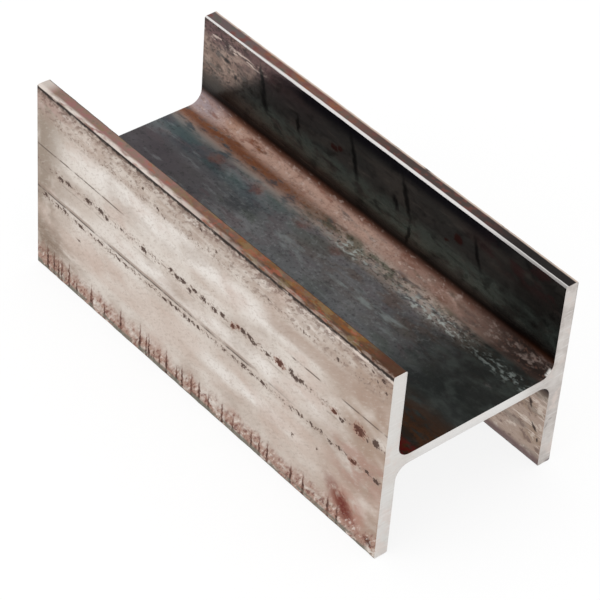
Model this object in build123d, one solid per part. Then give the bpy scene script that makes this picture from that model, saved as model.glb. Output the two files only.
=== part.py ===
"""Offcut of a hot-rolled wide-flange steel beam, lying on its flange edges.

The beam is one rolled piece: two parallel flanges joined by a web, with a fillet left by the
rolls in each of the four inner corners, blunt round toes along the flange edges, and both ends
sawn square and dressed with a file.

Frame: +X along the beam, +Y across its depth, +Z up. The origin is on the ground, under the
middle of the beam. All sizes are in millimetres.
"""

import os

from build123d import *

# Rolled section, as it comes from the mill
DEPTH = 125.0  # over the outer faces of the two flanges
FLANGE_WIDTH = 125.0  # from toe to toe, which is the height as the beam lies
FLANGE_THICKNESS = 9.0
WEB_THICKNESS = 6.5
ROOT_RADIUS = 8.0  # fillet between web and flange
TOE_RADIUS = 1.0  # blunt corner along a flange edge

# Cut to length
LENGTH = 295.0
END_BREAK = 0.4  # chamfer filed on the sawn edges


def rolled_section():
    """The outline across the beam, standing on its toes, with every corner rounded."""
    flange_middle = (DEPTH - FLANGE_THICKNESS) / 2
    web_height = FLANGE_WIDTH / 2
    with BuildSketch(Plane.YZ) as section:
        with Locations((0, web_height)):
            Rectangle(2 * flange_middle, WEB_THICKNESS)
        with Locations((-flange_middle, web_height), (flange_middle, web_height)):
            Rectangle(FLANGE_THICKNESS, FLANGE_WIDTH)
        # The outline's corners lie at four heights: toes, web underside, web top, toes
        heights = section.vertices().group_by(Axis.Y)
        fillet(heights[1] + heights[2], ROOT_RADIUS)
        heights = section.vertices().group_by(Axis.Y)
        fillet(heights[0] + heights[-1], TOE_RADIUS)
    return section.sketch


def sawn_beam():
    """The section drawn out to length, with the edges of both sawn ends broken."""
    bar = extrude(rolled_section(), amount=LENGTH / 2, both=True)
    sawn_ends = bar.faces().filter_by(Axis.X)
    return chamfer(sawn_ends.edges(), END_BREAK)


os.makedirs("parts", exist_ok=True)
export_step(sawn_beam(), "parts/i_beam.step")
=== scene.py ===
"""Looks of a steel beam offcut: its rolled shape, its worn and scaled faces, and the studio."""

import math

import bmesh
import bpy
import numpy as np
from mathutils import Matrix, Vector


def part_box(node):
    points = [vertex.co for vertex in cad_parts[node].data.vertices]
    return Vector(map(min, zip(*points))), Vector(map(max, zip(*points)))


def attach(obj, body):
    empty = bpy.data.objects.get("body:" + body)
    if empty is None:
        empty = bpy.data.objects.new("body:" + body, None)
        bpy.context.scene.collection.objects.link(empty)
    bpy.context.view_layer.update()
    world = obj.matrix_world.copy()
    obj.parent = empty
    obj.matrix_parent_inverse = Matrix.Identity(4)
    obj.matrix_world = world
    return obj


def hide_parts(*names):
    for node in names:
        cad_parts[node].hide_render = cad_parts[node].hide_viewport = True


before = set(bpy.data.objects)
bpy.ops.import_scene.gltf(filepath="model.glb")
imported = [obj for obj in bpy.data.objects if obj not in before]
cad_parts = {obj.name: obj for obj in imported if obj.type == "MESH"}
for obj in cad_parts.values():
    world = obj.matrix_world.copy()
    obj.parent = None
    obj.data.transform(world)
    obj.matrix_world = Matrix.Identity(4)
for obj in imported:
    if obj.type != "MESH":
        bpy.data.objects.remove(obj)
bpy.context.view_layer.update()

# The beam: one bar of structural steel, squeezed red-hot between rolls into an H. The rolls leave
# a round root in each inner corner and blunt toes along the flange edges; a saw cuts it to length.
MM = 0.001
FLANGE = 9.0 * MM
WEB = 6.5 * MM
ROOT = 8.0 * MM
TOE = 1.0 * MM
BREAK = 0.4 * MM  # filed off the sawn edges
ROOT_STEPS = 6
TOE_STEPS = 3
BREAK_STEPS = 2
LENGTHWISE_CUTS = (52, 3)  # one after the other, which leaves steps of 1.4 mm
FACE_STEP = 1.21 * MM  # between rows across the outer faces
TROUGH_STEP = 2.2 * MM  # between rows in the troughs
NEAR = 0.01 * MM
FACING = 0.9  # least share of an axis in the normal of a face that looks along it
SMOOTH_BELOW = math.radians(40)  # corners sharper than this stay crisp

low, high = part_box("i_beam")
length, depth, width = high - low
inside = depth / 2 - FLANGE  # from the middle to the inner face of a flange
middle = width / 2  # height of the web's middle


def choose(kind, test):
    """Selects the beam's faces or edges that pass the test, and nothing else."""
    bpy.ops.mesh.select_mode(type={"faces": "FACE", "edges": "EDGE"}[kind])
    bpy.ops.mesh.select_all(action="DESELECT")
    shape = bmesh.from_edit_mesh(beam.data)
    for item in getattr(shape, kind):
        item.select_set(bool(test(item)))
    shape.select_flush_mode()
    bmesh.update_edit_mesh(beam.data)


def runs_along(edge):
    """True of an edge that runs from one sawn end towards the other."""
    return abs(edge.verts[0].co.x - edge.verts[1].co.x) > NEAR


def at_toe(edge):
    """True of the eight long corners of the flange edges."""
    return runs_along(edge) and min(edge.verts[0].co.z, width - edge.verts[0].co.z) < NEAR


def at_root(edge):
    """True of the four inner corners between web and flanges."""
    spot = edge.verts[0].co
    on_flange = abs(abs(spot.y) - inside) < NEAR
    return runs_along(edge) and on_flange and abs(abs(spot.z - middle) - WEB / 2) < NEAR


def behind_web(edge):
    """True of the lines that the web leaves across the flanges' outer faces."""
    spot = edge.verts[0].co
    return runs_along(edge) and abs(spot.y) > depth / 2 - NEAR and abs(spot.z - middle) < WEB


bpy.ops.object.select_all(action="DESELECT")
bpy.ops.mesh.primitive_cube_add(size=1, location=(0, 0, middle), scale=(length, 2 * inside, WEB))
beam = bpy.context.object
beam.name = "rolled_beam"
bpy.ops.object.transform_apply(location=True, rotation=True, scale=True)
bpy.ops.object.mode_set(mode="EDIT")
for side in (-1, 1):
    choose("faces", lambda face: face.normal.y * side > FACING)
    bpy.ops.mesh.extrude_region_move(TRANSFORM_OT_translate={"value": (0, side * FLANGE, 0)})
for way in (-1, 1):
    choose(
        "faces",
        lambda face: face.normal.z * way > FACING and abs(face.calc_center_median().y) > inside,
    )
    arm = way * (middle - WEB / 2)
    bpy.ops.mesh.extrude_region_move(TRANSFORM_OT_translate={"value": (0, 0, arm)})
choose("edges", at_root)
bpy.ops.mesh.bevel(offset=ROOT, segments=ROOT_STEPS, affect="EDGES")
choose("edges", at_toe)
bpy.ops.mesh.bevel(offset=TOE, segments=TOE_STEPS, affect="EDGES")
choose("faces", lambda face: abs(face.normal.x) > FACING)
bpy.ops.mesh.delete(type="FACE")
choose("edges", behind_web)
bpy.ops.mesh.dissolve_edges()
flats = (
    (width - 2 * TOE, FACE_STEP),
    (FLANGE - 2 * TOE, FACE_STEP),
    (middle - WEB / 2 - ROOT - TOE, TROUGH_STEP),
    (2 * (inside - ROOT), TROUGH_STEP),
)
for flat, step in flats:
    choose("edges", lambda edge: not runs_along(edge) and abs(edge.calc_length() - flat) < NEAR)
    bpy.ops.mesh.subdivide(number_cuts=round(flat / step) - 1)
for cuts in LENGTHWISE_CUTS:
    choose("edges", runs_along)
    bpy.ops.mesh.subdivide(number_cuts=cuts)
for end in (-1, 1):
    choose("edges", lambda edge: edge.is_boundary and edge.verts[0].co.x * end > 0)
    bpy.ops.mesh.edge_face_add()
choose("edges", lambda edge: all(abs(vert.co.x) > length / 2 - NEAR for vert in edge.verts))
bpy.ops.mesh.bevel(offset=BREAK, segments=BREAK_STEPS, affect="EDGES")
bpy.ops.mesh.select_all(action="SELECT")
bpy.ops.mesh.normals_make_consistent(inside=False)
bpy.ops.object.mode_set(mode="OBJECT")
bpy.ops.object.shade_smooth_by_angle(angle=SMOOTH_BELOW)
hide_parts("i_beam")
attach(beam, "root")

# The rolled skin: no rolled face is quite flat. Old rolls leave it a little uneven, handling nicks
# the toes, and scale that was pressed in and fell out leaves rows of pits along the outer faces.
# A mark is its place along and up an outer face, then its half length and half height, in mm.
SEAM_PITS = (
    (-124.7, 73.4, 2.6, 1.5), (-118, 74.5, 3.4, 1.5), (-99.7, 74.5, 3.4, 1.8),
    (-88.5, 74.5, 2.9, 1.8), (-83, 73, 1.5, 1.4), (-69, 74, 1.6, 1.2), (-49.7, 73.4, 2.4, 1.5),
    (-26, 76, 1.4, 1.2), (-20.8, 74, 2.4, 2.1), (-15.8, 75, 2.2, 1.5), (-10, 72.3, 1.7, 1.4),
    (-5, 75, 2.3, 1.3), (2, 74.5, 2.2, 1.3), (11.4, 73.4, 2.3, 1.5), (18, 74.5, 2.2, 1.3),
    (35, 75.2, 1.9, 1.8), (40.3, 75.5, 1.6, 1.6), (44, 73.6, 2.5, 1.7), (55, 73.8, 2, 1.1),
    (74.2, 75.2, 1.6, 2.2), (78, 73.8, 3.2, 1.9), (82.8, 75, 1.8, 1.5), (114, 72.2, 1.8, 1.3),
    (134, 73, 1.1, 1.1), (139.7, 75.4, 2.6, 2.6),
)
RED_PITS = (
    (26.6, 73.4, 1.5, 1.9), (30.8, 75.5, 1.4, 1.3), (64.7, 75.2, 3.3, 2.3), (108, 73.6, 2.3, 1.7),
    (127.5, 75, 4, 3.4), (125, 51.7, 3, 1.6), (141.5, 8, 3, 2.6),
)
FINE_PITS = (
    (-139.7, 54.3, 1.5, 1.3), (-128, 53.3, 1.2, 1.2), (-122, 53.8, 1.8, 1.5),
    (-106.4, 52.2, 2.8, 1.1), (-87.5, 52.2, 1.8, 1), (-71.4, 52.2, 1.4, 1.1),
    (-64.7, 52.2, 1.7, 1.1), (-57.5, 52.8, 1.2, 1), (-30.8, 52.2, 2.2, 1.1),
    (-25.3, 52.8, 1.4, 1.2), (-20.3, 52.2, 1.7, 1.4), (-13.6, 52.2, 1.4, 1.3),
    (-9.7, 51.8, 1.5, 1.4), (-5.8, 52.8, 1.4, 1.2), (-2, 52.8, 1.4, 1.2), (20, 52.7, 2, 1),
    (28, 53, 1.3, 1.1), (37.3, 53, 1.7, 1.6), (45, 52.2, 1.9, 1), (52.5, 52.2, 2.1, 1.6),
    (75.5, 51.7, 1.6, 1), (82, 52.8, 1.4, 0.9), (92, 52.8, 1.2, 1.2), (99.7, 54.4, 0.9, 1.2),
    (107.5, 51.7, 2, 1.1), (114, 52.8, 1.6, 1.1), (136, 52.8, 1.6, 1.2), (143, 51.7, 2.2, 1.4),
    (-108, 41.5, 1.3, 1.1), (98.2, 40.4, 0.9, 1.3), (78.4, 35.4, 0.9, 1.4), (-39.2, 108.3, 1.5, 1),
    (-33.6, 106.2, 1.2, 0.9), (-52, 113.8, 1, 1.2), (-3, 118.3, 1.2, 0.9), (10, 112, 1.1, 1.2),
    (53, 109, 1.4, 0.8), (81.4, 107.7, 1.2, 0.8), (107, 108.2, 1.4, 1.1), (126.9, 118.3, 1.3, 0.9),
    (132.5, 118.3, 1.1, 0.9), (140.8, 117.8, 1.7, 1.1), (136.4, 114, 0.8, 1.1), (143, 112, 0.9, 1),
)
PIT_ROWS = ((74.5, 4.6, 0.36), (52.8, 3.2, 0.42), (107.5, 4, 0.3))  # height, half height, share
PIT_DEPTH = 0.35 * MM
PIT_RIM = 0.4  # nearness to a pit's middle at which the skin starts to sink
UNEVEN = 0.14 * MM  # most that a rolled face lies below its true plane
UNEVEN_SPACING = 16 * MM
SCALE_GRAIN = 0.07 * MM
SCALE_SPACING = 3.5 * MM
TOE_NICKS = 0.3 * MM
NICK_SPACING = 5 * MM
END_FADE = 2 * MM  # over which the unevenness dies out towards a sawn end
FAINTEST = 0.01  # least weight that presses a point in

spots = np.empty(3 * len(beam.data.vertices))
beam.data.vertices.foreach_get("co", spots)
spots = spots.reshape(-1, 3)
spots_along, spots_up = -spots[:, 0] * np.sign(spots[:, 1]) / MM, spots[:, 2] / MM
on_face = np.abs(spots[:, 1]) > depth / 2 - NEAR
at_edge = np.minimum(spots[:, 2], width - spots[:, 2]) < TOE + NEAR
away_from_ends = np.clip((length / 2 - np.abs(spots[:, 0])) / END_FADE, 0, 1)


def nearness(marks):
    """How near each point of an outer face is to a mark: 1 in its middle, a half on its rim."""
    best = np.zeros(len(spots))
    for mark_along, mark_up, half_length, half_height in marks:
        off_along, off_up = spots_along - mark_along, spots_up - mark_up
        apart = np.hypot(off_along / half_length, off_up / half_height)
        best = np.maximum(best, (1 - apart / 2) * on_face)
    return best


def in_rows(rows):
    """How much of a share each point of an outer face has in the rows of scattered specks."""
    best = np.zeros(len(spots))
    for row_up, half_height, share in rows:
        best = np.maximum(best, share * (1 - ((spots_up - row_up) / half_height) ** 2) * on_face)
    return best


def press_in(name, deepest, weights, spacing=None):
    """Presses the skin in by up to this depth, evenly or in an uneven pattern of this spacing."""
    group = beam.vertex_groups.new(name=name)
    for at in np.flatnonzero(weights > FAINTEST):
        group.add([int(at)], float(weights[at]), "REPLACE")
    press = beam.modifiers.new(name, "DISPLACE")
    press.vertex_group = name
    press.strength = -deepest
    press.mid_level = 0.0
    if spacing:
        press.texture = bpy.data.textures.new(name, "CLOUDS")
        press.texture.noise_scale = spacing
        press.texture_coords = "LOCAL"
    bpy.ops.object.modifier_apply(modifier=name)


dark_pits, red_pits = nearness(SEAM_PITS + FINE_PITS), nearness(RED_PITS)
pitted = np.clip(2 * (np.maximum(dark_pits, red_pits) - PIT_RIM), 0, 1)
dark_pits = np.maximum(dark_pits, in_rows(PIT_ROWS))
for name, values in (("dark_pits", dark_pits), ("red_pits", red_pits)):
    beam.data.attributes.new(name, "FLOAT", "POINT").data.foreach_set("value", values)
press_in("uneven_rolling", UNEVEN, away_from_ends, UNEVEN_SPACING)
press_in("scale_grain", SCALE_GRAIN, away_from_ends * ~on_face, SCALE_SPACING)
press_in("pressed_pits", PIT_DEPTH, pitted * away_from_ends)
press_in("nicked_toes", TOE_NICKS, 1.0 * at_edge, NICK_SPACING)

# The outer flange faces: the same steel, rubbed pale by handling and weather, crossed by thin seams
# that the rolls drew out, with rust that creeps up in drips from the lower edge.
RUST_DRIPS = (
    (-137.5, 0, 1.2, 22), (-131.4, 0, 1.2, 20), (-127.2, 0, 0.8, 18), (-124, 0, 1.1, 20),
    (-117, 0, 1.2, 21), (-109.7, 0, 1, 13), (-95.8, 0, 1.3, 19), (-83.6, 0, 1.1, 15),
    (-68.6, 0, 1.3, 20), (-50.8, 0, 1.2, 22), (-45, 0, 1, 18), (-42.8, 0, 1, 20), (-38, 0, 0.8, 13),
    (-33, 0, 0.8, 14), (-27, 0, 1.2, 20), (-18, 0, 1.1, 15), (-13, 0, 1.1, 19), (-4.7, 0, 1.2, 19),
    (2, 0, 1.2, 19), (10.3, 0, 1.1, 16), (22, 0, 1.2, 18), (31.4, 0, 1.1, 14), (37.5, 0, 0.8, 8),
    (47, 0, 1.1, 16), (53.6, 0, 1.1, 16), (60.3, 0, 1.1, 18), (79.7, 0, 1.2, 17),
    (89.7, 0, 1.2, 17), (109.7, 0, 1.3, 18), (117, 0, 1.1, 17),
)
PALE_AREAS = (
    (-45, 97, 78, 11), (15, 95, 60, 8), (72, 64, 42, 8), (-15, 63.5, 72, 6.5), (40, 36, 50, 6),
)
UPPER_SEAM = ((-110, 86, 42, 9), (85, 86, 12, 9), (132, 86, 19, 9))
RUST_BLOTCHES = ((119, 19, 13, 5.5, -42), (123, 14, 5.5, 5))
RUST_HALO = ((124, 17, 20, 18),)
DIAGONAL = math.radians(-35)  # lie of the fine scratches
NOISE_MIDDLE = (0.5, 0.5, 0.5)
RAGGED_SPACING = 2.4  # mm between the bites that make the edge of a mark ragged
BLOTCH_BITES = (4, 3, 0)  # mm that they reach along and up
DRIP_BITES = (3.2, 6, 0)
SEAM_WAVE = 40  # mm along the face from one sway of a seam to the next
SEAM_SWAY = 1.6  # mm
SEAM_CORE = 0.2  # share of a seam's height that has its full shade
PIT_PULL = 0.72  # weight of a pit against the flecks that break up its edge
RUST_WANDER = 22.0  # mm that the upper edge of the rust wanders


def linear(code):
    """A colour written as sRGB hex, in the linear values that shaders take."""
    parts = [int(code[at:at + 2], 16) / 255 for at in (1, 3, 5)]
    return [p / 12.92 if p < 0.04045 else ((p + 0.055) / 1.055) ** 2.4 for p in parts] + [1.0]


def node(kind, inputs=(), **settings):
    """Adds a node to the finish in hand, with its settings, and fills or links its inputs."""
    made = tree.nodes.new("ShaderNode" + kind)
    for name, value in settings.items():
        setattr(made, name, value)
    for socket, value in dict(inputs).items():
        if isinstance(value, bpy.types.Node):
            value = value.outputs[0]
        if isinstance(value, bpy.types.NodeSocket):
            tree.links.new(value, made.inputs[socket])
        else:
            made.inputs[socket].default_value = linear(value) if isinstance(value, str) else value
    return made


def patches(size, shift=0.0, tilt=0.0, fine=4.0):
    """Irregular patches of about this size in mm: above 0.5 inside them and below between."""
    laid = {"Vector": place, "Scale": size, "Location": (shift,) * 3, "Rotation": (0, tilt, 0)}
    laid = node("Mapping", laid, vector_type="TEXTURE")
    return node("TexNoise", {"Vector": laid, "Scale": 1.0, "Detail": fine, "Roughness": 0.58})


def nearest(spot, marks):
    """How far a spot is from the nearest mark: 0 in its middle and 1 on its rim. A mark that leans
    has the angle in degrees as its last number."""
    found = None
    for mark_along, mark_up, half_length, half_height, *lean in marks:
        laid = {"Location": (mark_along, mark_up, 0), "Scale": (half_length, half_height, 1)}
        laid["Rotation"] = (0, 0, math.radians(sum(lean)))
        laid["Vector"] = spot
        laid = node("Mapping", laid, vector_type="TEXTURE")
        apart = node("VectorMath", {0: laid}, operation="LENGTH").outputs["Value"]
        if found:
            apart = node("Math", {0: apart, 1: found}, operation="MINIMUM")
        found = apart
    return found


def coated(colour, coats):
    """A colour under its coats. A coat is a shade, its cover, and the limits that it keeps within,
    each a value with where the coat starts and where it is full."""
    for shade, cover, *limits in coats:
        total = None
        for value, start, full in limits:
            span = {"Value": value, "From Min": start, "From Max": full}
            span["To Max"] = 1.0 if total else cover
            share = node("MapRange", span, interpolation_type="SMOOTHSTEP")
            total = node("Math", {0: share, 1: total}, operation="MULTIPLY") if total else share
        colour = node("MixRGB", {"Fac": total, "Color1": colour, "Color2": shade})
    return colour


def begin(name):
    """Starts a finish of the beam, and gives its nodes and its shader."""
    finish = bpy.data.materials.new(name)
    finish.use_nodes = True
    beam.data.materials.append(finish)
    return finish.node_tree, finish.node_tree.nodes["Principled BSDF"]


def in_mm():
    """The place of each point of the beam in mm, whole and axis by axis."""
    point = node("TexCoord").outputs["Object"]
    point = node("VectorMath", {0: point, "Scale": 1 / MM}, operation="SCALE")
    return point, node("SeparateXYZ", {0: point}).outputs


def dress(sockets):
    """Links the shader of the finish in hand to what each of these sockets takes."""
    for socket, made in sockets.items():
        tree.links.new(made.outputs[0], shader.inputs[socket])


# Weathered steel: matt and pale, blotched beige and pink by old rust, darker towards the ends.
tree, shader = begin("weathered_steel")
place, axes = in_mm()
side = node("Math", {0: axes["Y"]}, operation="SIGN")
along = node("Math", {0: axes["X"], 1: side}, operation="MULTIPLY")
along = node("Math", {0: along, 1: -1.0}, operation="MULTIPLY")
up = axes["Z"]
face = node("CombineXYZ", {"X": along, "Y": up})
wobble = node("TexNoise", {"Vector": place, "Scale": 1 / RAGGED_SPACING, "Detail": 3.0})
wobble = wobble.outputs["Color"]
wobble = node("VectorMath", {0: wobble, 1: NOISE_MIDDLE}, operation="SUBTRACT")
ragged = node("VectorMath", {0: wobble, 1: BLOTCH_BITES, 2: face}, operation="MULTIPLY_ADD")
ragged_up = node("SeparateXYZ", {0: ragged}).outputs["Y"]
drip_face = node("VectorMath", {0: wobble, 1: DRIP_BITES, 2: face}, operation="MULTIPLY_ADD")
drawn_up = node("TexNoise", {"Vector": place, "Scale": 1 / SEAM_WAVE, "Detail": 2.0})
drawn_up = node("Math", {0: drawn_up, 1: SEAM_SWAY, 2: up}, operation="MULTIPLY_ADD")
pit_colours = []
flecks = patches((1.5, 1.5, 1.2), fine=3)
for name in ("dark_pits", "red_pits"):
    pit = node("Attribute", attribute_name=name).outputs["Fac"]
    pit_colours.append(node("Math", {0: pit, 1: PIT_PULL, 2: flecks}, operation="MULTIPLY_ADD"))
dark_pit, red_pit = pit_colours


def seam(height, half):
    """The limit of a thin rolled seam at this height on an outer face."""
    off = node("Math", {0: drawn_up, 1: height + SEAM_SWAY / 2}, operation="SUBTRACT")
    off = node("Math", {0: off}, operation="ABSOLUTE")
    return off, half, half * SEAM_CORE


rust_edge = patches((9, 9, 30), shift=44)
rust_edge = node("Math", {0: rust_edge, 1: RUST_WANDER, 2: up}, operation="MULTIPLY_ADD")
top_band, low_band = (up, 100, 111), (rust_edge, 30, 19)
blotch, halo = nearest(ragged, RUST_BLOTCHES), nearest(face, RUST_HALO)
drip = nearest(drip_face, RUST_DRIPS)
strokes = patches((4.5, 3, 1.5), tilt=DIAGONAL, fine=5)
drizzle = patches((1.9, 3, 5), tilt=-DIAGONAL, fine=5)
coats = (
    # rubbed pale, with beige and pink clouds
    ("#d0c8c0", 0.9, (patches((46, 14, 22), fine=2), 0.38, 0.62)),
    ("#dbd5cf", 1, (nearest(face, PALE_AREAS), 1.35, 0.3),
     (patches((40, 14, 22), shift=3, fine=2), 0.24, 0.52)),
    ("#b8a296", 0.6, (patches((36, 12, 20), shift=31, fine=3), 0.48, 0.72)),
    ("#9f8f83", 0.45, (patches((34, 9, 18), shift=67, fine=3), 0.5, 0.72)),
    # darker towards both ends
    ("#98806f", 0.85, (along, 80, 132), (patches((26, 20, 16), fine=2), 0.3, 0.56)),
    ("#a07f72", 0.8, (along, 98, 122), (up, 66, 58), (up, 30, 42),
     (patches((14, 9, 9), fine=2), 0.32, 0.56)),
    ("#8f8174", 0.95, (along, -112, -142), (patches((16, 9, 22), fine=3), 0.3, 0.55)),
    ("#7d6b5c", 0.8, (along, -90, -132), (up, 40, 26), (patches((18, 9, 7)), 0.36, 0.56)),
    ("#a98c86", 0.8, (along, -104, -134), (up, 106, 118), (patches((12, 9, 5)), 0.35, 0.55)),
    # browner along the upper edge and above the lower one
    ("#9d897c", 0.55, top_band, (patches((16, 9, 5)), 0.4, 0.58)),
    ("#6f5d53", 0.6, top_band, (patches((4, 3, 2), tilt=DIAGONAL), 0.53, 0.65)),
    ("#6a5147", 0.75, (up, 114, 120), (patches((5, 3, 2.4), shift=9, tilt=DIAGONAL), 0.47, 0.6)),
    ("#a08a7c", 0.6, (up, 92, 96), (up, 106, 102), (along, 40, 62)),
    ("#a08072", 0.95, low_band, (patches((12, 9, 7)), 0.34, 0.54)),
    ("#bda99d", 0.45, (up, 50, 43), (up, 22, 28),
     (patches((30, 9, 16), shift=15, fine=3), 0.3, 0.56)),
    # fine scratches and flecks
    ("#d8d0c8", 0.18, (strokes, 0.54, 0.68)),
    ("#8f7f73", 0.26, (strokes, 0.45, 0.34)),
    ("#a7998e", 0.3, (flecks, 0.52, 0.66)),
    # rolled seams
    ("#5a4c43", 0.85, seam(85.8, 0.8), (nearest(face, UPPER_SEAM), 1.1, 0.8),
     (patches((9, 9, 9)), 0.3, 0.5)),
    ("#8b786c", 0.7, seam(57.4, 1.5), (along, 90, 20), (patches((15, 9, 9)), 0.36, 0.52)),
    ("#4f443c", 0.88, seam(56.2, 0.95), (along, 96, 25), (patches((14, 9, 9)), 0.38, 0.56)),
    ("#7f7268", 0.4, seam(70.2, 0.8), (patches((14, 9, 9)), 0.46, 0.58)),
    # pits, each with a stain round it
    ("#958479", 0.55, (dark_pit, 0.66, 0.9)),
    ("#402c24", 0.9, (dark_pit, 0.82, 0.95)),
    ("#98705f", 0.65, (red_pit, 0.62, 0.9)),
    ("#4e2b20", 0.94, (red_pit, 0.82, 0.95)),
    # a blotch of rust by one end
    ("#a67c6e", 0.9, (halo, 1.1, 0.2), (patches((9, 9, 9)), 0.3, 0.55)),
    ("#764335", 0.94, (blotch, 1.8, 0.3), (patches((4, 4, 6), tilt=DIAGONAL), 0.3, 0.52)),
    ("#63261e", 0.95, (blotch, 1.2, 0.1), (along, 112, 121), (flecks, 0.3, 0.56)),
    # drips of rust
    ("#6f463d", 0.85, low_band, (drizzle, 0.52, 0.64)),
    ("#ddd1c8", 0.65, low_band, (drizzle, 0.46, 0.35)),
    ("#6d473b", 0.85, (drip, 1.05, 0.65)),
    ("#3d241b", 0.92, (drip, 0.9, 0.4), (patches((3, 3, 3.5), fine=5), 0.38, 0.54)),
    # dirt and wear along the edges
    ("#6f6d62", 0.9, (up, 5.5, 3), (patches((7, 6, 3)), 0.38, 0.52)),
    ("#d8cfc6", 0.85, (along, 138, 144), (up, 9, 4), (patches((5, 4, 4)), 0.42, 0.54)),
    ("#d8cbc1", 0.8, (along, 70, 110), (up, 120, 120.8), (up, 123, 122.4)),
    ("#6f5d53", 0.85, (ragged_up, 117.5, 122), (patches((9, 3, 3), shift=41), 0.42, 0.58)),
    ("#231b17", 0.95, (ragged_up, 121.7, 122.9), (patches((12, 3, 3)), 0.3, 0.44)),
)
colour = coated("#c0b4aa", coats)
grain = patches((1.6, 1.6, 1.6))
rough = node("MapRange", {"Value": grain, "To Min": 0.5, "To Max": 0.76})
bump = node("Bump", {"Height": grain, "Strength": 0.35, "Distance": 0.3 * MM})
dress({"Base Color": colour, "Roughness": rough, "Normal": bump})
shader.inputs["Specular IOR Level"].default_value = 0.14

# The troughs: web, roots and inner flange faces keep their mill scale, the thin dark oxide skin of
# hot rolling. It is slate-grey and half glossy, and breaks into rust first along the roots.
# Cracks and red spots lie along it and up from the ground, marks on the web along and off a flange.
CRACKS = (
    (-94, 110, 1.5, 9, 16), (-92, 99, 1.8, 6, 20), (-15, 106, 1.5, 11, 16), (28, 105, 1.5, 11, 18),
    (32, 83, 1.2, 6, -8), (84, 104, 1.3, 8, 18), (-62, 100, 1.1, 5, 14), (20, 98, 1.6, 3.5, 20),
    (-126.5, 106, 2.8, 1.1, -8), (-117.5, 99.5, 1.5, 1.3),
)
LOW_CRACKS = ((136, 38, 1, 3.2, 25), (141, 24, 0.9, 3.4, 40), (144.5, 17, 0.9, 2, -10))
FLAKED = ((9, 18, 15, 4), (74, 18.5, 26, 4.5), (131, 19, 15, 4))
WEB_SPOTS = ((-98, 27, 5, 4), (-63, 26, 4, 4), (-25, 26, 6, 3.5), (4, 26, 4, 3.5))
RED_SPOTS = ((69, 105, 3.6, 3.6), (-32, 103, 3.4, 2), (-27, 105, 2.6, 1.8), (61, 99, 1.4, 1))
TORN_SPACING = 4  # mm between the bites that make the edge of a mark ragged
FLAKE_BITES = (10, 8, 0)  # mm that they reach, along the beam and across
CRACK_BITES = (5, 4, 0)
# The pale far corner of each inner flange face is a painted reflection of the white surroundings
# beyond the open far end, inside a slanting edge.
PAINTED_REFLECTION_SLOPE = 1.06  # mm along the beam for each mm off the web, on the edge of the pale far corner
ROOT_BLEND = (5, 11)  # mm off the web, between which its look gives way to the flange's

# Mill scale: the web is a mottled slate, the inner flange faces shine darkly and mirror what is
# near, and the roots are matt brown.
tree, shader = begin("mill_scale")
place, axes = in_mm()
level = node("Math", {0: axes["Z"], 1: middle / MM}, operation="SUBTRACT")
way_up = node("Math", {0: level}, operation="SIGN")
along = node("Math", {0: axes["X"], 1: way_up}, operation="MULTIPLY")
off_web = node("Math", {0: level}, operation="ABSOLUTE")
off_web = node("Math", {0: off_web, 1: WEB / MM / 2}, operation="SUBTRACT")
off_flange = node("Math", {0: axes["Y"]}, operation="ABSOLUTE")
off_flange = node("Math", {0: inside / MM, 1: off_flange}, operation="SUBTRACT")
off_root = node("Math", {0: off_web, 1: off_flange}, operation="MAXIMUM")
right, left = (axes["Y"], -1, 1), (axes["Y"], 1, -1)
root, lower = (off_root, 11.5, 4.5), (level, 1, -1)
clouds, tints = patches((34, 15, 15), fine=6), patches((24, 10, 10), fine=5, shift=23)
specks, lace = patches((2.3, 1.9, 1.9), fine=5), patches((2.6, 1.5, 1.5), fine=8, shift=13)
rust = patches((14, 5, 5), fine=6, shift=61)
mottle, scraps = patches((7, 4, 5), fine=6, shift=12), patches((4, 2.3, 2.3), fine=9, shift=77)
wobble = node("TexNoise", {"Vector": place, "Scale": 1 / TORN_SPACING, "Detail": 3.0})
wobble = wobble.outputs["Color"]
wobble = node("VectorMath", {0: wobble, 1: NOISE_MIDDLE}, operation="SUBTRACT")
pale_streaks = patches((16, 5, 5), fine=9, shift=37)
web_face = node("CombineXYZ", {"X": along, "Y": off_flange})
web_face = node("VectorMath", {0: wobble, 1: FLAKE_BITES, 2: web_face}, operation="MULTIPLY_ADD")
flaked = nearest(web_face, FLAKED)
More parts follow.
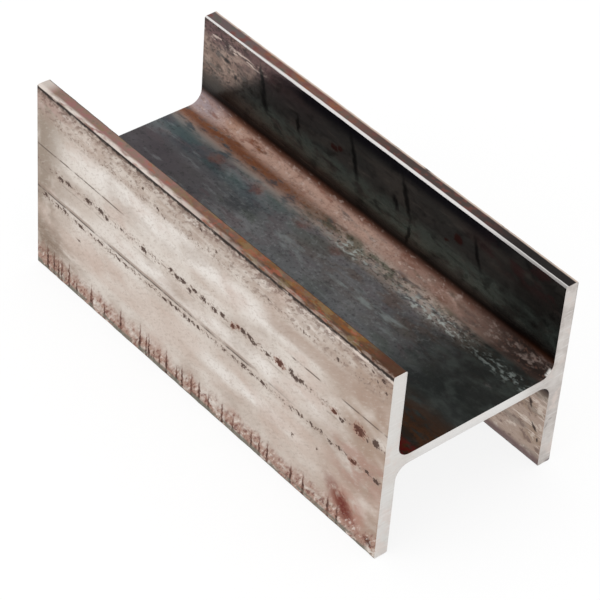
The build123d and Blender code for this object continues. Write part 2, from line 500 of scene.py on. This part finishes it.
web_coats = (
    # clouds in the scale
    ("#757576", 0.9, (clouds, 0.5, 0.64)),
    ("#3f4244", 0.9, (clouds, 0.47, 0.35)),
    ("#4b5249", 0.55, (tints, 0.54, 0.66)),
    ("#5f4f51", 0.6, (tints, 0.47, 0.36)),
    # tints along the web
    ("#37444b", 0.6, right, (along, -20, -70), (off_flange, 46, 34),
     (patches((40, 14, 14), shift=51), 0.36, 0.56)),
    ("#463f43", 0.8, (axes["Y"], 24, 6), (along, -40, -110)),
    ("#6a6a6c", 0.45, (along, -70, -15), (along, 95, 50)),
    ("#5f4b42", 0.6, right, (along, -50, -10), (off_flange, 60, 25), (tints, 0.4, 0.56)),
    ("#6d4338", 0.55, (nearest(web_face, WEB_SPOTS), 1.6, 0.3)),
    ("#4a5f5e", 0.35, right, (along, 40, -20), (off_flange, 19, 25), (off_flange, 40, 31),
     (tints, 0.42, 0.56)),
    # fine specks and pale streaks
    ("#2b2c2b", 0.45, (specks, 0.46, 0.34)),
    ("#898c8a", 0.36, (along, -120, -20), (specks, 0.55, 0.68)),
    ("#8d9192", 0.3, (pale_streaks, 0.57, 0.7)),
    ("#868e8c", 0.58, (off_flange, 33, 39), (off_flange, 50, 44), (along, -50, 0), (along, 104, 84),
     (pale_streaks, 0.48, 0.66)),
    # darker towards the near end
    ("#1a1d1b", 0.92, (along, 58, 118), (patches((24, 18, 18), fine=6), 0.1, 0.3)),
    ("#4a504c", 0.42, (along, 50, 100), (patches((16, 10, 10), fine=9, shift=5), 0.44, 0.7)),
    # rust and flakes beside the right-hand root
    ("#bfaea2", 0.9, right, (off_flange, 27, 12), (along, 120, 60), (rust, 0.36, 0.56)),
    ("#6d4a3d", 0.7, right, (off_flange, 20, 9), (along, 120, 70), (specks, 0.52, 0.62)),
    ("#555b4c", 0.7, right, (off_flange, 24, 14), (along, -60, 0), (along, 110, 70),
     (tints, 0.5, 0.62)),
    ("#73432b", 0.95, right, (along, 30, -80), (off_flange, 22, 13), (rust, 0.32, 0.5)),
    ("#94613f", 0.4, right, (along, 10, -80), (off_flange, 20, 14), (specks, 0.5, 0.62)),
    ("#5c4034", 0.5, right, (along, 10, -80), (off_flange, 20, 14), (lace, 0.48, 0.38)),
    ("#2d2722", 0.7, right, (off_flange, 8, 12), (off_flange, 30, 20), (along, -50, 0),
     (lace, 0.47, 0.38)),
    ("#7d837f", 0.6, right, (off_flange, 12, 17), (off_flange, 26, 19), (along, -70, -10),
     (scraps, 0.5, 0.66)),
    ("#b0b5b0", 0.88, right, (flaked, 1.5, 0.4), (along, 125, 90), (scraps, 0.49, 0.6)),
    ("#737a77", 0.6, right, (flaked, 1.6, 0.4), (along, 90, 125), (scraps, 0.47, 0.62)),
    # the roots, the right-hand one with a painted highlight along its middle and a painted dark
    # reflection on its flange side
    ("#bd9d8e", 0.95, root, (along, 145, 75), (patches((20, 6, 6)), 0.3, 0.5)),
    # painted reflection of the dark flange opposite, on the flange side of the right-hand root
    ("#5b3526", 0.85, right, (off_web, 2.4, 6.5)),
    # painted highlight on the far end of the right-hand root
    ("#a89ca0", 0.85, right, root, (along, -112, -142)),
    ("#7e4b39", 0.6, root, (rust, 0.54, 0.68)),
    ("#a9714a", 0.25, root, (along, -60, -120), (rust, 0.5, 0.36)),
    ("#6b4c42", 0.5, root, (along, 0, 50), (rust, 0.3, 0.5)),
    ("#3d322e", 0.86, root, (along, 55, 125)),
    ("#1d1815", 0.8, root, (along, 100, 134), (rust, 0.36, 0.54)),
    ("#d3c0b6", 0.5, root, (along, 120, 60), (scraps, 0.55, 0.68)),
    ("#7a584c", 0.35, root, (specks, 0.47, 0.35)),
    ("#46372f", 0.22, root, (lace, 0.46, 0.36)),
    # painted highlight along the middle of the right-hand root
    ("#9d8c84", 0.4, right, (off_root, 9, 4), (along, 20, 80), (rust, 0.54, 0.42),
     (scraps, 0.47, 0.62)),
    # painted shadow: the roots below the web darkened
    ("#2f2a22", 0.9, root, lower),
    # deep rust in the near left corner, and a bright nick in the right one
    ("#3b2009", 0.97, left, (off_root, 46, 24), (along, 92, 122), (rust, 0.34, 0.54)),
    ("#120d08", 0.7, left, (off_root, 40, 14), (along, 95, 125), (tints, 0.46, 0.62)),
    ("#14100c", 0.5, left, (off_root, 40, 14), (along, 95, 125), (specks, 0.5, 0.6)),
    ("#4d0805", 0.95, left, (off_root, 16, 10), (along, 118, 136), (scraps, 0.38, 0.58)),
    ("#e6e3de", 0.9, right, (off_root, 4.6, 3.4), (along, 145, 146.5), (lace, 0.4, 0.5)),
)
face = node("CombineXYZ", {"X": axes["X"], "Y": axes["Z"]})
ragged = node("VectorMath", {0: wobble, 1: CRACK_BITES, 2: face}, operation="MULTIPLY_ADD")
reflection_slant = node("Math", {0: off_web, 1: -PAINTED_REFLECTION_SLOPE, 2: along}, operation="MULTIPLY_ADD")
grey, streaks = patches((40, 20, 12), fine=6), patches((16, 4, 2.2), fine=5)
flange_coats = (
    # grey and brown fields
    ("#66605a", 0.9, (grey, 0.44, 0.62)),
    ("#6c756e", 1, (along, -120, -80), (off_web, 14, 19), (off_web, 35, 27),
     (patches((14, 9, 8), fine=7), 0.34, 0.54)),
    # the lower, browner part of the painted reflection in the far corner
    ("#826c61", 0.92, (reflection_slant, -138, -156), (off_web, 14, 24),
     (patches((14, 9, 9), fine=5), 0.32, 0.54)),
    ("#5f4543", 0.85, (off_web, 43, 51), (along, -40, -100), (patches((26, 9, 8)), 0.34, 0.52)),
    ("#6d5457", 0.3, (along, -20, -80), (off_web, 34, 48)),
    # streaks and specks
    ("#272625", 0.4, (streaks, 0.46, 0.34)),
    ("#2b2a29", 0.3, (specks, 0.46, 0.34)),
    ("#222321", 0.6, (patches((11, 9, 7), fine=6, shift=88), 0.53, 0.67)),
    ("#948a80", 0.25, (streaks, 0.58, 0.7)),
    # dark and pale places along the face
    ("#2c2624", 0.5, (along, 70, 130), (patches((18, 9, 12)), 0.36, 0.55)),
    ("#5c3b3a", 0.7, (along, 60, 110), (off_web, 36, 46), (tints, 0.48, 0.6)),
    ("#29211d", 0.85, (along, -80, -110), (off_web, 16, 26), (lace, 0.51, 0.6),
     (tints, 0.36, 0.52)),
    ("#332c26", 0.85, (off_web, 28, 18), (along, -108, -126)),
    # the pale upper part of the painted reflection in the far corner
    ("#a38d81", 0.7, (reflection_slant, -140, -156), (off_web, 24, 34), (off_web, 53, 46),
     (mottle, 0.5, 0.66)),
    # painted reflection along the top of the far corner
    ("#cdbbb0", 0.8, (along, -86, -100), (off_web, 47.5, 49), (off_web, 53, 51),
     (patches((7, 4, 1.6), shift=3), 0.5, 0.58)),
    ("#1a1822", 0.9, (along, -95, -50), (along, 150, 70), (off_web, 48, 55)),
    # cracks, red spots, and painted shade that darkens the inner faces towards the web
    ("#151413", 0.88, (nearest(ragged, CRACKS), 1.9, 0.5)),
    ("#4a1d17", 0.85, (nearest(ragged, RED_SPOTS), 1.2, 0.6)),
    # painted shade: near black where the inner faces run down to the roots
    ("#0d0301", 0.98, (off_web, 18, 9)),
    ("#3f210f", 0.6, right, (off_web, 15, 8), (along, 114, 134)),
    # below the web: paler, in part a painted reflection of the white floor, with painted shade
    # towards the web
    # in part a painted reflection: the faces below the web made pale tan
    ("#ad998c", 1, lower),
    ("#97816f", 0.7, lower, (grey, 0.5, 0.62)),
    ("#93867c", 0.7, lower, (tints, 0.5, 0.62)),
    ("#d9ccc0", 0.6, lower, (mottle, 0.55, 0.66)),
    ("#755f57", 0.75, lower, (mottle, 0.46, 0.36)),
    ("#dccdc3", 0.55, lower, (streaks, 0.56, 0.66)),
    # painted shade towards the web, below it
    ("#6a6054", 0.85, lower, (off_web, 16, 8), (grey, 0.4, 0.52)),
    ("#2f211b", 0.92, lower, (nearest(ragged, LOW_CRACKS), 1.2, 0.5)),
    ("#5d474a", 0.8, lower, (off_web, 51.5, 56)),
)
web_colour = coated("#5c5d5e", web_coats)
flange_colour = coated("#55534f", flange_coats)
colour = coated(web_colour, ((flange_colour, 1, (off_web, *ROOT_BLEND)),))
blend_from, blend_to = ROOT_BLEND
metal = {"Value": off_web, "From Min": blend_from, "From Max": blend_to, "To Max": 0.85}
metal = node("MapRange", metal)
rough = {"Value": off_root, "From Min": 6, "From Max": 14, "To Min": 0.8, "To Max": 0.35}
rough = node("MapRange", rough)
shine = {"Value": off_web, "From Min": 8, "From Max": 14, "To Min": 0.62, "To Max": 0.24}
shine = node("MapRange", shine)
on_flange = node("Math", {0: off_web, 1: ROOT / MM}, operation="GREATER_THAN")
rough = node("Mix", {0: on_flange, 2: rough, 3: shine})
grain = patches((2, 2, 2), fine=5)
bump = node("Bump", {"Height": grain, "Strength": 0.3, "Distance": 0.3 * MM})
dress({"Base Color": colour, "Roughness": rough, "Metallic": metal, "Normal": bump})
shader.inputs["Specular IOR Level"].default_value = 0.06

# The toes: the blunt edges of the flanges, left rough by the rolls. The flat rusts first, and the
# corners that rub on other bars stay bright; on the corners that face up and to the left the
# brightness is partly a painted highlight.
# The bright line on the right-hand flange's inner corner is partly worn steel and partly a painted
# highlight.
WORN_AND_HIGHLIGHT_SLOPE = 0.0014  # mm up for each mm along, on the edge of a bright worn corner

# Rusted steel: matt brown, pink and orange patches that darken towards the near end.
tree, shader = begin("rusted_toes")
place, axes = in_mm()
along, height = axes["X"], axes["Z"]
outward = node("Math", {0: axes["Y"]}, operation="ABSOLUTE")
worn_and_highlight_line = node("Math", {0: along, 1: -WORN_AND_HIGHLIGHT_SLOPE, 2: height}, operation="MULTIPLY_ADD")
right, left = (axes["Y"], -1, 1), (axes["Y"], 1, -1)
small_spots, large_spots = patches((6, 4, 4), fine=5), patches((8, 5, 5), fine=5, shift=21)
coats = (
    # the left-hand flange
    ("#6f5348", 1, left, (along, -60, 0)),
    ("#604127", 0.9, left, (along, -10, 70), (patches((12, 6, 6)), 0.3, 0.52)),
    ("#8f6160", 0.65, left, (along, 50, -30), (small_spots, 0.5, 0.6)),
    ("#7c481f", 0.68, left, (along, -70, 50), (large_spots, 0.45, 0.6)),
    ("#5d5c50", 0.65, left, (small_spots, 0.45, 0.34)),
    ("#75602f", 0.4, left, (along, -60, 20), (small_spots, 0.52, 0.64)),
    ("#4b382f", 0.75, left, (axes["Y"], -58, -59.2), (along, -40, 40),
     (patches((6, 2, 2)), 0.36, 0.52)),
    ("#7c6d4d", 0.5, left, (patches((9, 5, 5), fine=5, shift=52), 0.52, 0.62)),
    ("#9a523f", 0.5, left, (along, -110, -40), (patches((7, 4, 4), fine=5, shift=83), 0.54, 0.64)),
    ("#cfc6be", 0.75, left, (along, -134, -145)),
    ("#44291b", 0.9, left, (along, 112, 136)),
    # the right-hand flange
    ("#5f5251", 1, right),
    ("#6e5047", 1, right, (along, -115, -90), (patches((16, 6, 6)), 0.3, 0.5)),
    ("#6f4f4c", 0.7, right, (along, 20, -60), (small_spots, 0.48, 0.6)),
    ("#8a5030", 0.55, right, (along, 20, -40), (along, -128, -90), (large_spots, 0.5, 0.62)),
    ("#50544a", 0.7, right, (small_spots, 0.45, 0.34)),
    ("#3f3633", 0.9, right, (along, -40, 15)),
    ("#6a3f38", 0.75, right, (along, 120, 60), (small_spots, 0.52, 0.62)),
    ("#181514", 0.95, right, (along, 65, 118)),
    # the corners
    ("#3a322d", 1, (outward, 54.7, 54.2)),
    # partly worn steel, partly a painted highlight where the left-hand flange's toes turn to the
    # outer face
    ("#d3c9c1", 0.88, left, (axes["Y"], -59, -61), (along, 75, -60),
     (patches((9, 3, 3), fine=6), 0.3, 0.58)),
    ("#a59488", 0.65, left, (axes["Y"], -60, -61.2), (along, 0, 60),
     (patches((6, 2, 2), fine=6), 0.38, 0.6)),
    ("#77756b", 0.85, (outward, 61, 61.6), (height, 2.4, 1.6), (patches((7, 6, 3)), 0.34, 0.48)),
    ("#231b17", 0.95, left, (outward, 62.1, 62.4), (height, 122, 124),
     (patches((16, 3, 3)), 0.28, 0.42)),
    ("#cdbaac", 0.9, right, (outward, 60.3, 61.2), (height, 122, 124),
     (patches((12, 3, 3)), 0.26, 0.44)),
    # these two: partly worn steel, partly a painted highlight along the right-hand flange's inner
    # corner
    ("#d6d3d1", 1, right, (axes["Y"], 54.9, 54.5), (worn_and_highlight_line, 124.1, 124.4)),
    ("#d6d3d1", 1, right, (axes["Y"], 55.6, 55), (along, -120, -60),
     (patches((14, 5, 5)), 0.22, 0.36)),
    ("#75716f", 0.75, right, (axes["Y"], 55, 54.5), (along, 70, 125)),
)
colour = coated("#82695f", coats)
grain = patches((1.5, 1.5, 1.5))
rough = node("MapRange", {"Value": grain, "To Min": 0.5, "To Max": 0.8})
bump = node("Bump", {"Height": grain, "Strength": 0.4, "Distance": 0.3 * MM})
dress({"Base Color": colour, "Roughness": rough, "Normal": bump})
shader.inputs["Specular IOR Level"].default_value = 0.12

# The sawn ends: the bare bright steel inside the bar, cut square by a band saw that leaves faint
# parallel lines, with the sharp edge filed off all round.
SAW_MARKS = ((55, 29, 0.6, 2.2, -25), (57.5, 33, 1.5, 0.6, 10))

# Sawn steel: pale and half matt. Its saw lines are drawn 1 mm apart, coarser than real, to show.
tree, shader = begin("sawn_steel")
place, axes = in_mm()
end_face = node("CombineXYZ", {"X": axes["Y"], "Y": axes["Z"]})
coats = (
    # painted shade: the sawn end darker towards the right-hand flange, away from the lamp
    ("#b9b0aa", 0.9, (axes["Y"], 20, 58)),
    ("#d9d3ce", 0.8, (patches((20, 20, 20)), 0.45, 0.62)),
    ("#dccec6", 0.7, (patches((10, 12, 12), shift=33), 0.52, 0.68)),
    ("#eceae8", 0.35, (patches((9, 14, 1.4)), 0.52, 0.68)),
    ("#c5bfb9", 0.28, (patches((9, 12, 1.3), shift=15), 0.56, 0.7)),
    ("#e8e6e4", 0.7, (axes["Y"], -48, -32), (axes["Y"], 42, 26)),
    ("#77696b", 0.9, (axes["Y"], 58, 60.5), (axes["Z"], 2.6, 1)),
    ("#8f8784", 0.75, (nearest(end_face, SAW_MARKS), 1.3, 0.5)),
)
colour = coated("#dedbd7", coats)
saw = patches((9, 26, 0.9), shift=7)
rough = node("MapRange", {"Value": saw, "To Min": 0.36, "To Max": 0.56})
bump = node("Bump", {"Height": saw, "Strength": 0.25, "Distance": 0.15 * MM})
dress({"Base Color": colour, "Roughness": rough, "Normal": bump})
shader.inputs["Metallic"].default_value = 0.3

# Each face of the beam takes the finish of its place. The filed edges go with the sawn ends.
OUTER_FACES, TROUGHS, TOES, SAWN_ENDS = range(4)  # in the order in which the finishes were begun
END_FACING = 0.5  # least share of the length in the normal of a sawn face or a filed edge
for polygon in beam.data.polygons:
    centre, facing = polygon.center, polygon.normal
    if abs(facing.x) > END_FACING:
        polygon.material_index = SAWN_ENDS
    elif min(centre.z, width - centre.z) < TOE:
        polygon.material_index = TOES
    elif abs(centre.y) > depth / 2 - TOE:
        polygon.material_index = OUTER_FACES
    else:
        polygon.material_index = TROUGHS

# The floor: a plain sheet of white card that lies under the beam, wide enough to fill the view. It
# looks evenly white and keeps the beam's soft shadow.
FLOOR_SIZE = 8
FLOOR_GAP = 0.1 * MM  # under the toes

bpy.ops.object.select_all(action="DESELECT")
bpy.ops.mesh.primitive_plane_add(size=FLOOR_SIZE, location=(0, 0, -FLOOR_GAP))
floor = bpy.context.object
floor.name = "studio_floor"
card = bpy.data.materials.new("white_card")
card.use_nodes = True
floor.data.materials.append(card)
tree = card.node_tree
tree.nodes.remove(tree.nodes["Principled BSDF"])
rays = node("LightPath").outputs
seen = node("Math", {0: rays["Is Camera Ray"], 1: rays["Is Glossy Ray"]}, operation="MAXIMUM")
seen = node("Math", {0: seen, 1: rays["Is Transmission Ray"]}, operation="MAXIMUM")
lit = node("BsdfDiffuse", {"Color": "#e0e0e0"})
half_lit = node("BsdfDiffuse", {"Color": "#656565"})
glow = node("Emission", {"Color": "#ffffff", "Strength": 0.87})
shown = node("AddShader", {0: half_lit, 1: glow})
card_look = node("MixShader", {0: seen, 1: lit, 2: shown})
tree.links.new(card_look.outputs[0], tree.nodes["Material Output"].inputs["Surface"])

# The light: an even white tent over the beam and one broad soft lamp on the left, turned towards
# it, which sets its faces a little apart.
LAMP_SIZE = 1.6
LAMP_POWER = 9.0
LAMP_PLACE = (-0.3, -1.6, 0.9)

world = bpy.data.worlds.new("white_tent")
bpy.context.scene.world = world
world.use_nodes = True
world.node_tree.nodes["Background"].inputs["Color"].default_value = (1, 1, 1, 1)
lamp = bpy.data.lights.new("soft_lamp", "AREA")
lamp.shape = "DISK"
lamp.size = LAMP_SIZE
lamp.energy = LAMP_POWER
lamp_place = bpy.data.objects.new("soft_lamp", lamp)
bpy.context.scene.collection.objects.link(lamp_place)
lamp_place.location = LAMP_PLACE
lamp_place.rotation_euler = (-lamp_place.location).to_track_quat("-Z", "Y").to_euler()

# The camera: a long lens about 1.4 m away, looking down along the beam from its near sawn end. Its
# place and turn were fitted to the straight edges of the beam.
AZIMUTH, ELEVATION, ROLL = 47.262, 40.104, 4.576  # degrees
FOCUS_PX = 2633.5
IMAGE_PX = 600
SENSOR_MM = 36.0
EYE = Vector((810.26, -740.58, 966.78)) * MM

turn, rise, roll = (math.radians(angle) for angle in (AZIMUTH, ELEVATION, ROLL))
back = Vector((math.sin(turn) * math.cos(rise), -math.cos(turn) * math.cos(rise), math.sin(rise)))
level_way = Vector((0, 0, 1)).cross(back).normalized()
across = math.cos(roll) * level_way + math.sin(roll) * back.cross(level_way)
lens = bpy.data.cameras.new("long_lens")
lens.sensor_width = SENSOR_MM
lens.lens = FOCUS_PX * SENSOR_MM / IMAGE_PX
camera = bpy.data.objects.new("camera", lens)
bpy.context.scene.collection.objects.link(camera)
pose = Matrix((across, back.cross(across), back)).transposed().to_4x4()
camera.matrix_world = Matrix.Translation(EYE) @ pose
bpy.context.scene.camera = camera
bpy.context.scene.view_settings.view_transform = "Standard"
